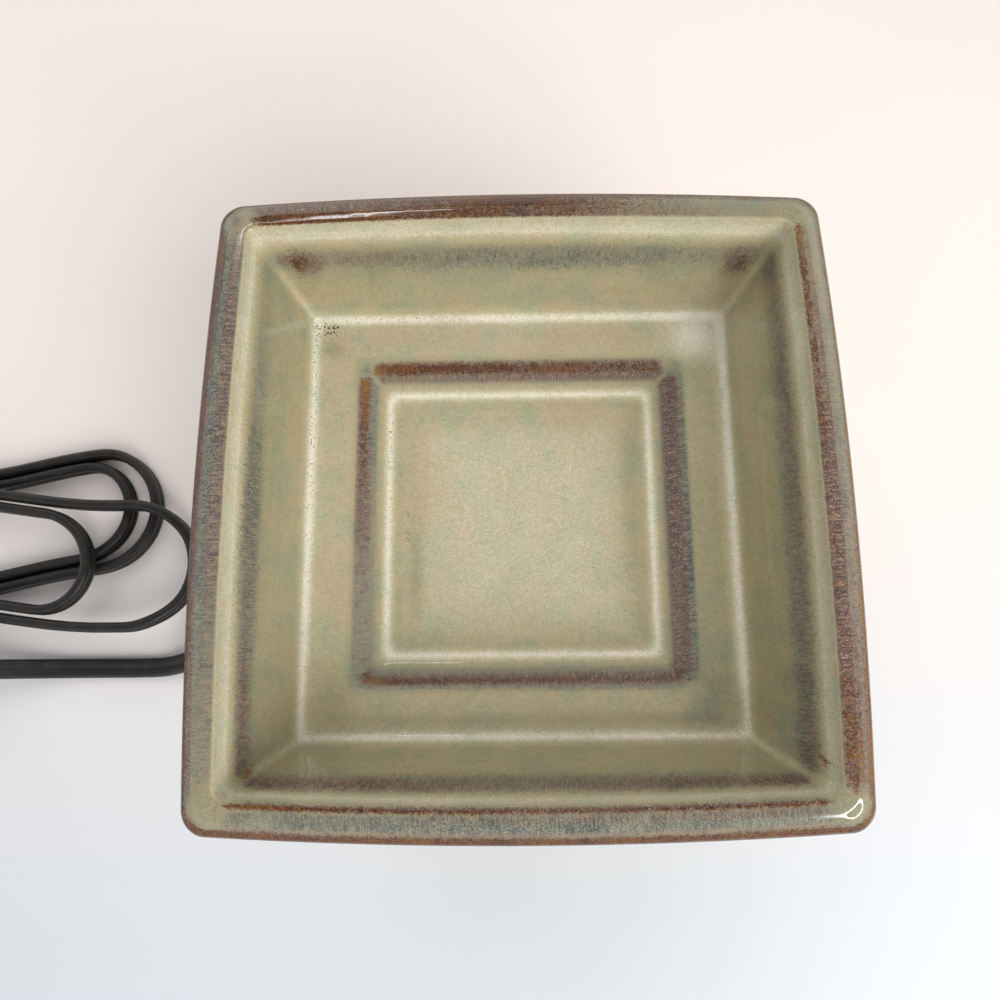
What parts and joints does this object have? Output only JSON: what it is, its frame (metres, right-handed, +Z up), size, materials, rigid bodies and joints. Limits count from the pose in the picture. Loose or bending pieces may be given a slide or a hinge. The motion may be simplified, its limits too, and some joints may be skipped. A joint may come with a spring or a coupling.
{
  "type": "electric wax warmer",
  "caption": "Square glazed ceramic wax melting dish that lifts off a windowed ceramic lamp housing, with a flat corded lead, inline thumb-wheel switch and two-pin plug",
  "frame": {"origin": "on the surface the warmer stands on, under the middle of its square dish", "axes": "+Z up; +Y away from the viewer; the cord leaves the body on the -X side"},
  "size_m": [0.3763, 0.15, 0.122],
  "materials": {
    "dish_glaze": "glossy reactive glaze, cream, olive and rust brown",
    "body_glaze": "glossy reactive glaze, as on the dish",
    "foot_rubber": "matt moulded rubber",
    "zinc_steel": "zinc plated sheet",
    "screw_steel": "nickel plated",
    "white_nylon": "moulded nylon",
    "porcelain": "white glazed porcelain",
    "brass": "pressed brass",
    "solder": "soldered tip",
    "lamp_glass": "clear lamp glass",
    "filament_wire": "drawn wire",
    "bushing_rubber": "moulded strain relief",
    "lead_black": "insulated wire",
    "lead_white": "insulated wire",
    "cord_jacket": "satin flat twin lead",
    "tie_strap": "hook and loop strap",
    "switch_plastic": "moulded case",
    "wheel_plastic": "moulded, notched",
    "plug_plastic": "moulded plug"
  },
  "bodies": {
    "root": {"warmer_body": "body_glaze", "rubber_foot_1": "foot_rubber", "rubber_foot_2": "foot_rubber", "rubber_foot_3": "foot_rubber", "rubber_foot_4": "foot_rubber", "base_pan": "zinc_steel", "pan_screw_1": "screw_steel", "pan_screw_2": "screw_steel", "pan_screw_3": "screw_steel", "pan_screw_4": "screw_steel", "screw_anchor_1": "white_nylon", "screw_anchor_2": "white_nylon", "screw_anchor_3": "white_nylon", "screw_anchor_4": "white_nylon", "socket_bracket": "zinc_steel", "bracket_rivet_1": "screw_steel", "bracket_rivet_2": "screw_steel", "lamp_socket": "porcelain", "socket_screw": "screw_steel", "socket_shell": "brass", "socket_leaf": "brass", "socket_terminal_1": "brass", "socket_terminal_2": "brass", "cord_bushing": "bushing_rubber", "lead_live": "lead_black", "lead_neutral": "lead_white", "supply_cord_run": "cord_jacket", "supply_cord_link": "cord_jacket", "supply_cord_hank": "cord_jacket", "supply_cord_tail": "cord_jacket", "cord_tie": "tie_strap", "switch_case_lower": "switch_plastic", "switch_case_upper": "switch_plastic", "switch_spindle": "brass", "switch_contact_1": "brass", "switch_contact_2": "brass", "switch_screw": "screw_steel", "switch_nut": "screw_steel", "plug_body": "plug_plastic", "plug_blade_1": "brass", "plug_blade_2": "brass"},
    "dish": {"wax_dish": "dish_glaze"},
    "lamp_carrier": {"lamp_tip": "solder"},
    "lamp": {"lamp_cap": "brass", "lamp_envelope": "lamp_glass", "lamp_stem": "lamp_glass", "lamp_filament": "filament_wire"},
    "thumb_wheel": {"switch_wheel": "wheel_plastic"}
  },
  "joints": [
    {"name": "dish_lift", "type": "slide", "parent": "root", "child": "dish", "axis": [0, 0, 1], "range_m": [0, 0.05]},
    {"name": "lamp_rise", "type": "slide", "parent": "root", "child": "lamp_carrier", "axis": [0, 0, 1], "range_m": [0, 0.0077]},
    {"name": "lamp_turn", "type": "hinge", "parent": "lamp_carrier", "child": "lamp", "pos_m": [0, 0, 0.03], "axis": [0, 0, 1], "range_deg": [0, 1080]},
    {"name": "switch_wheel_turn", "type": "hinge", "parent": "root", "child": "thumb_wheel", "pos_m": [-0.2265, -0.0437, 0.00915], "axis": [0, 0, 1], "continuous": true}
  ],
  "couplings": [
    {"joint": "lamp_rise", "follows": "lamp_turn", "m_per_rad": 0.00040425}
  ]
}
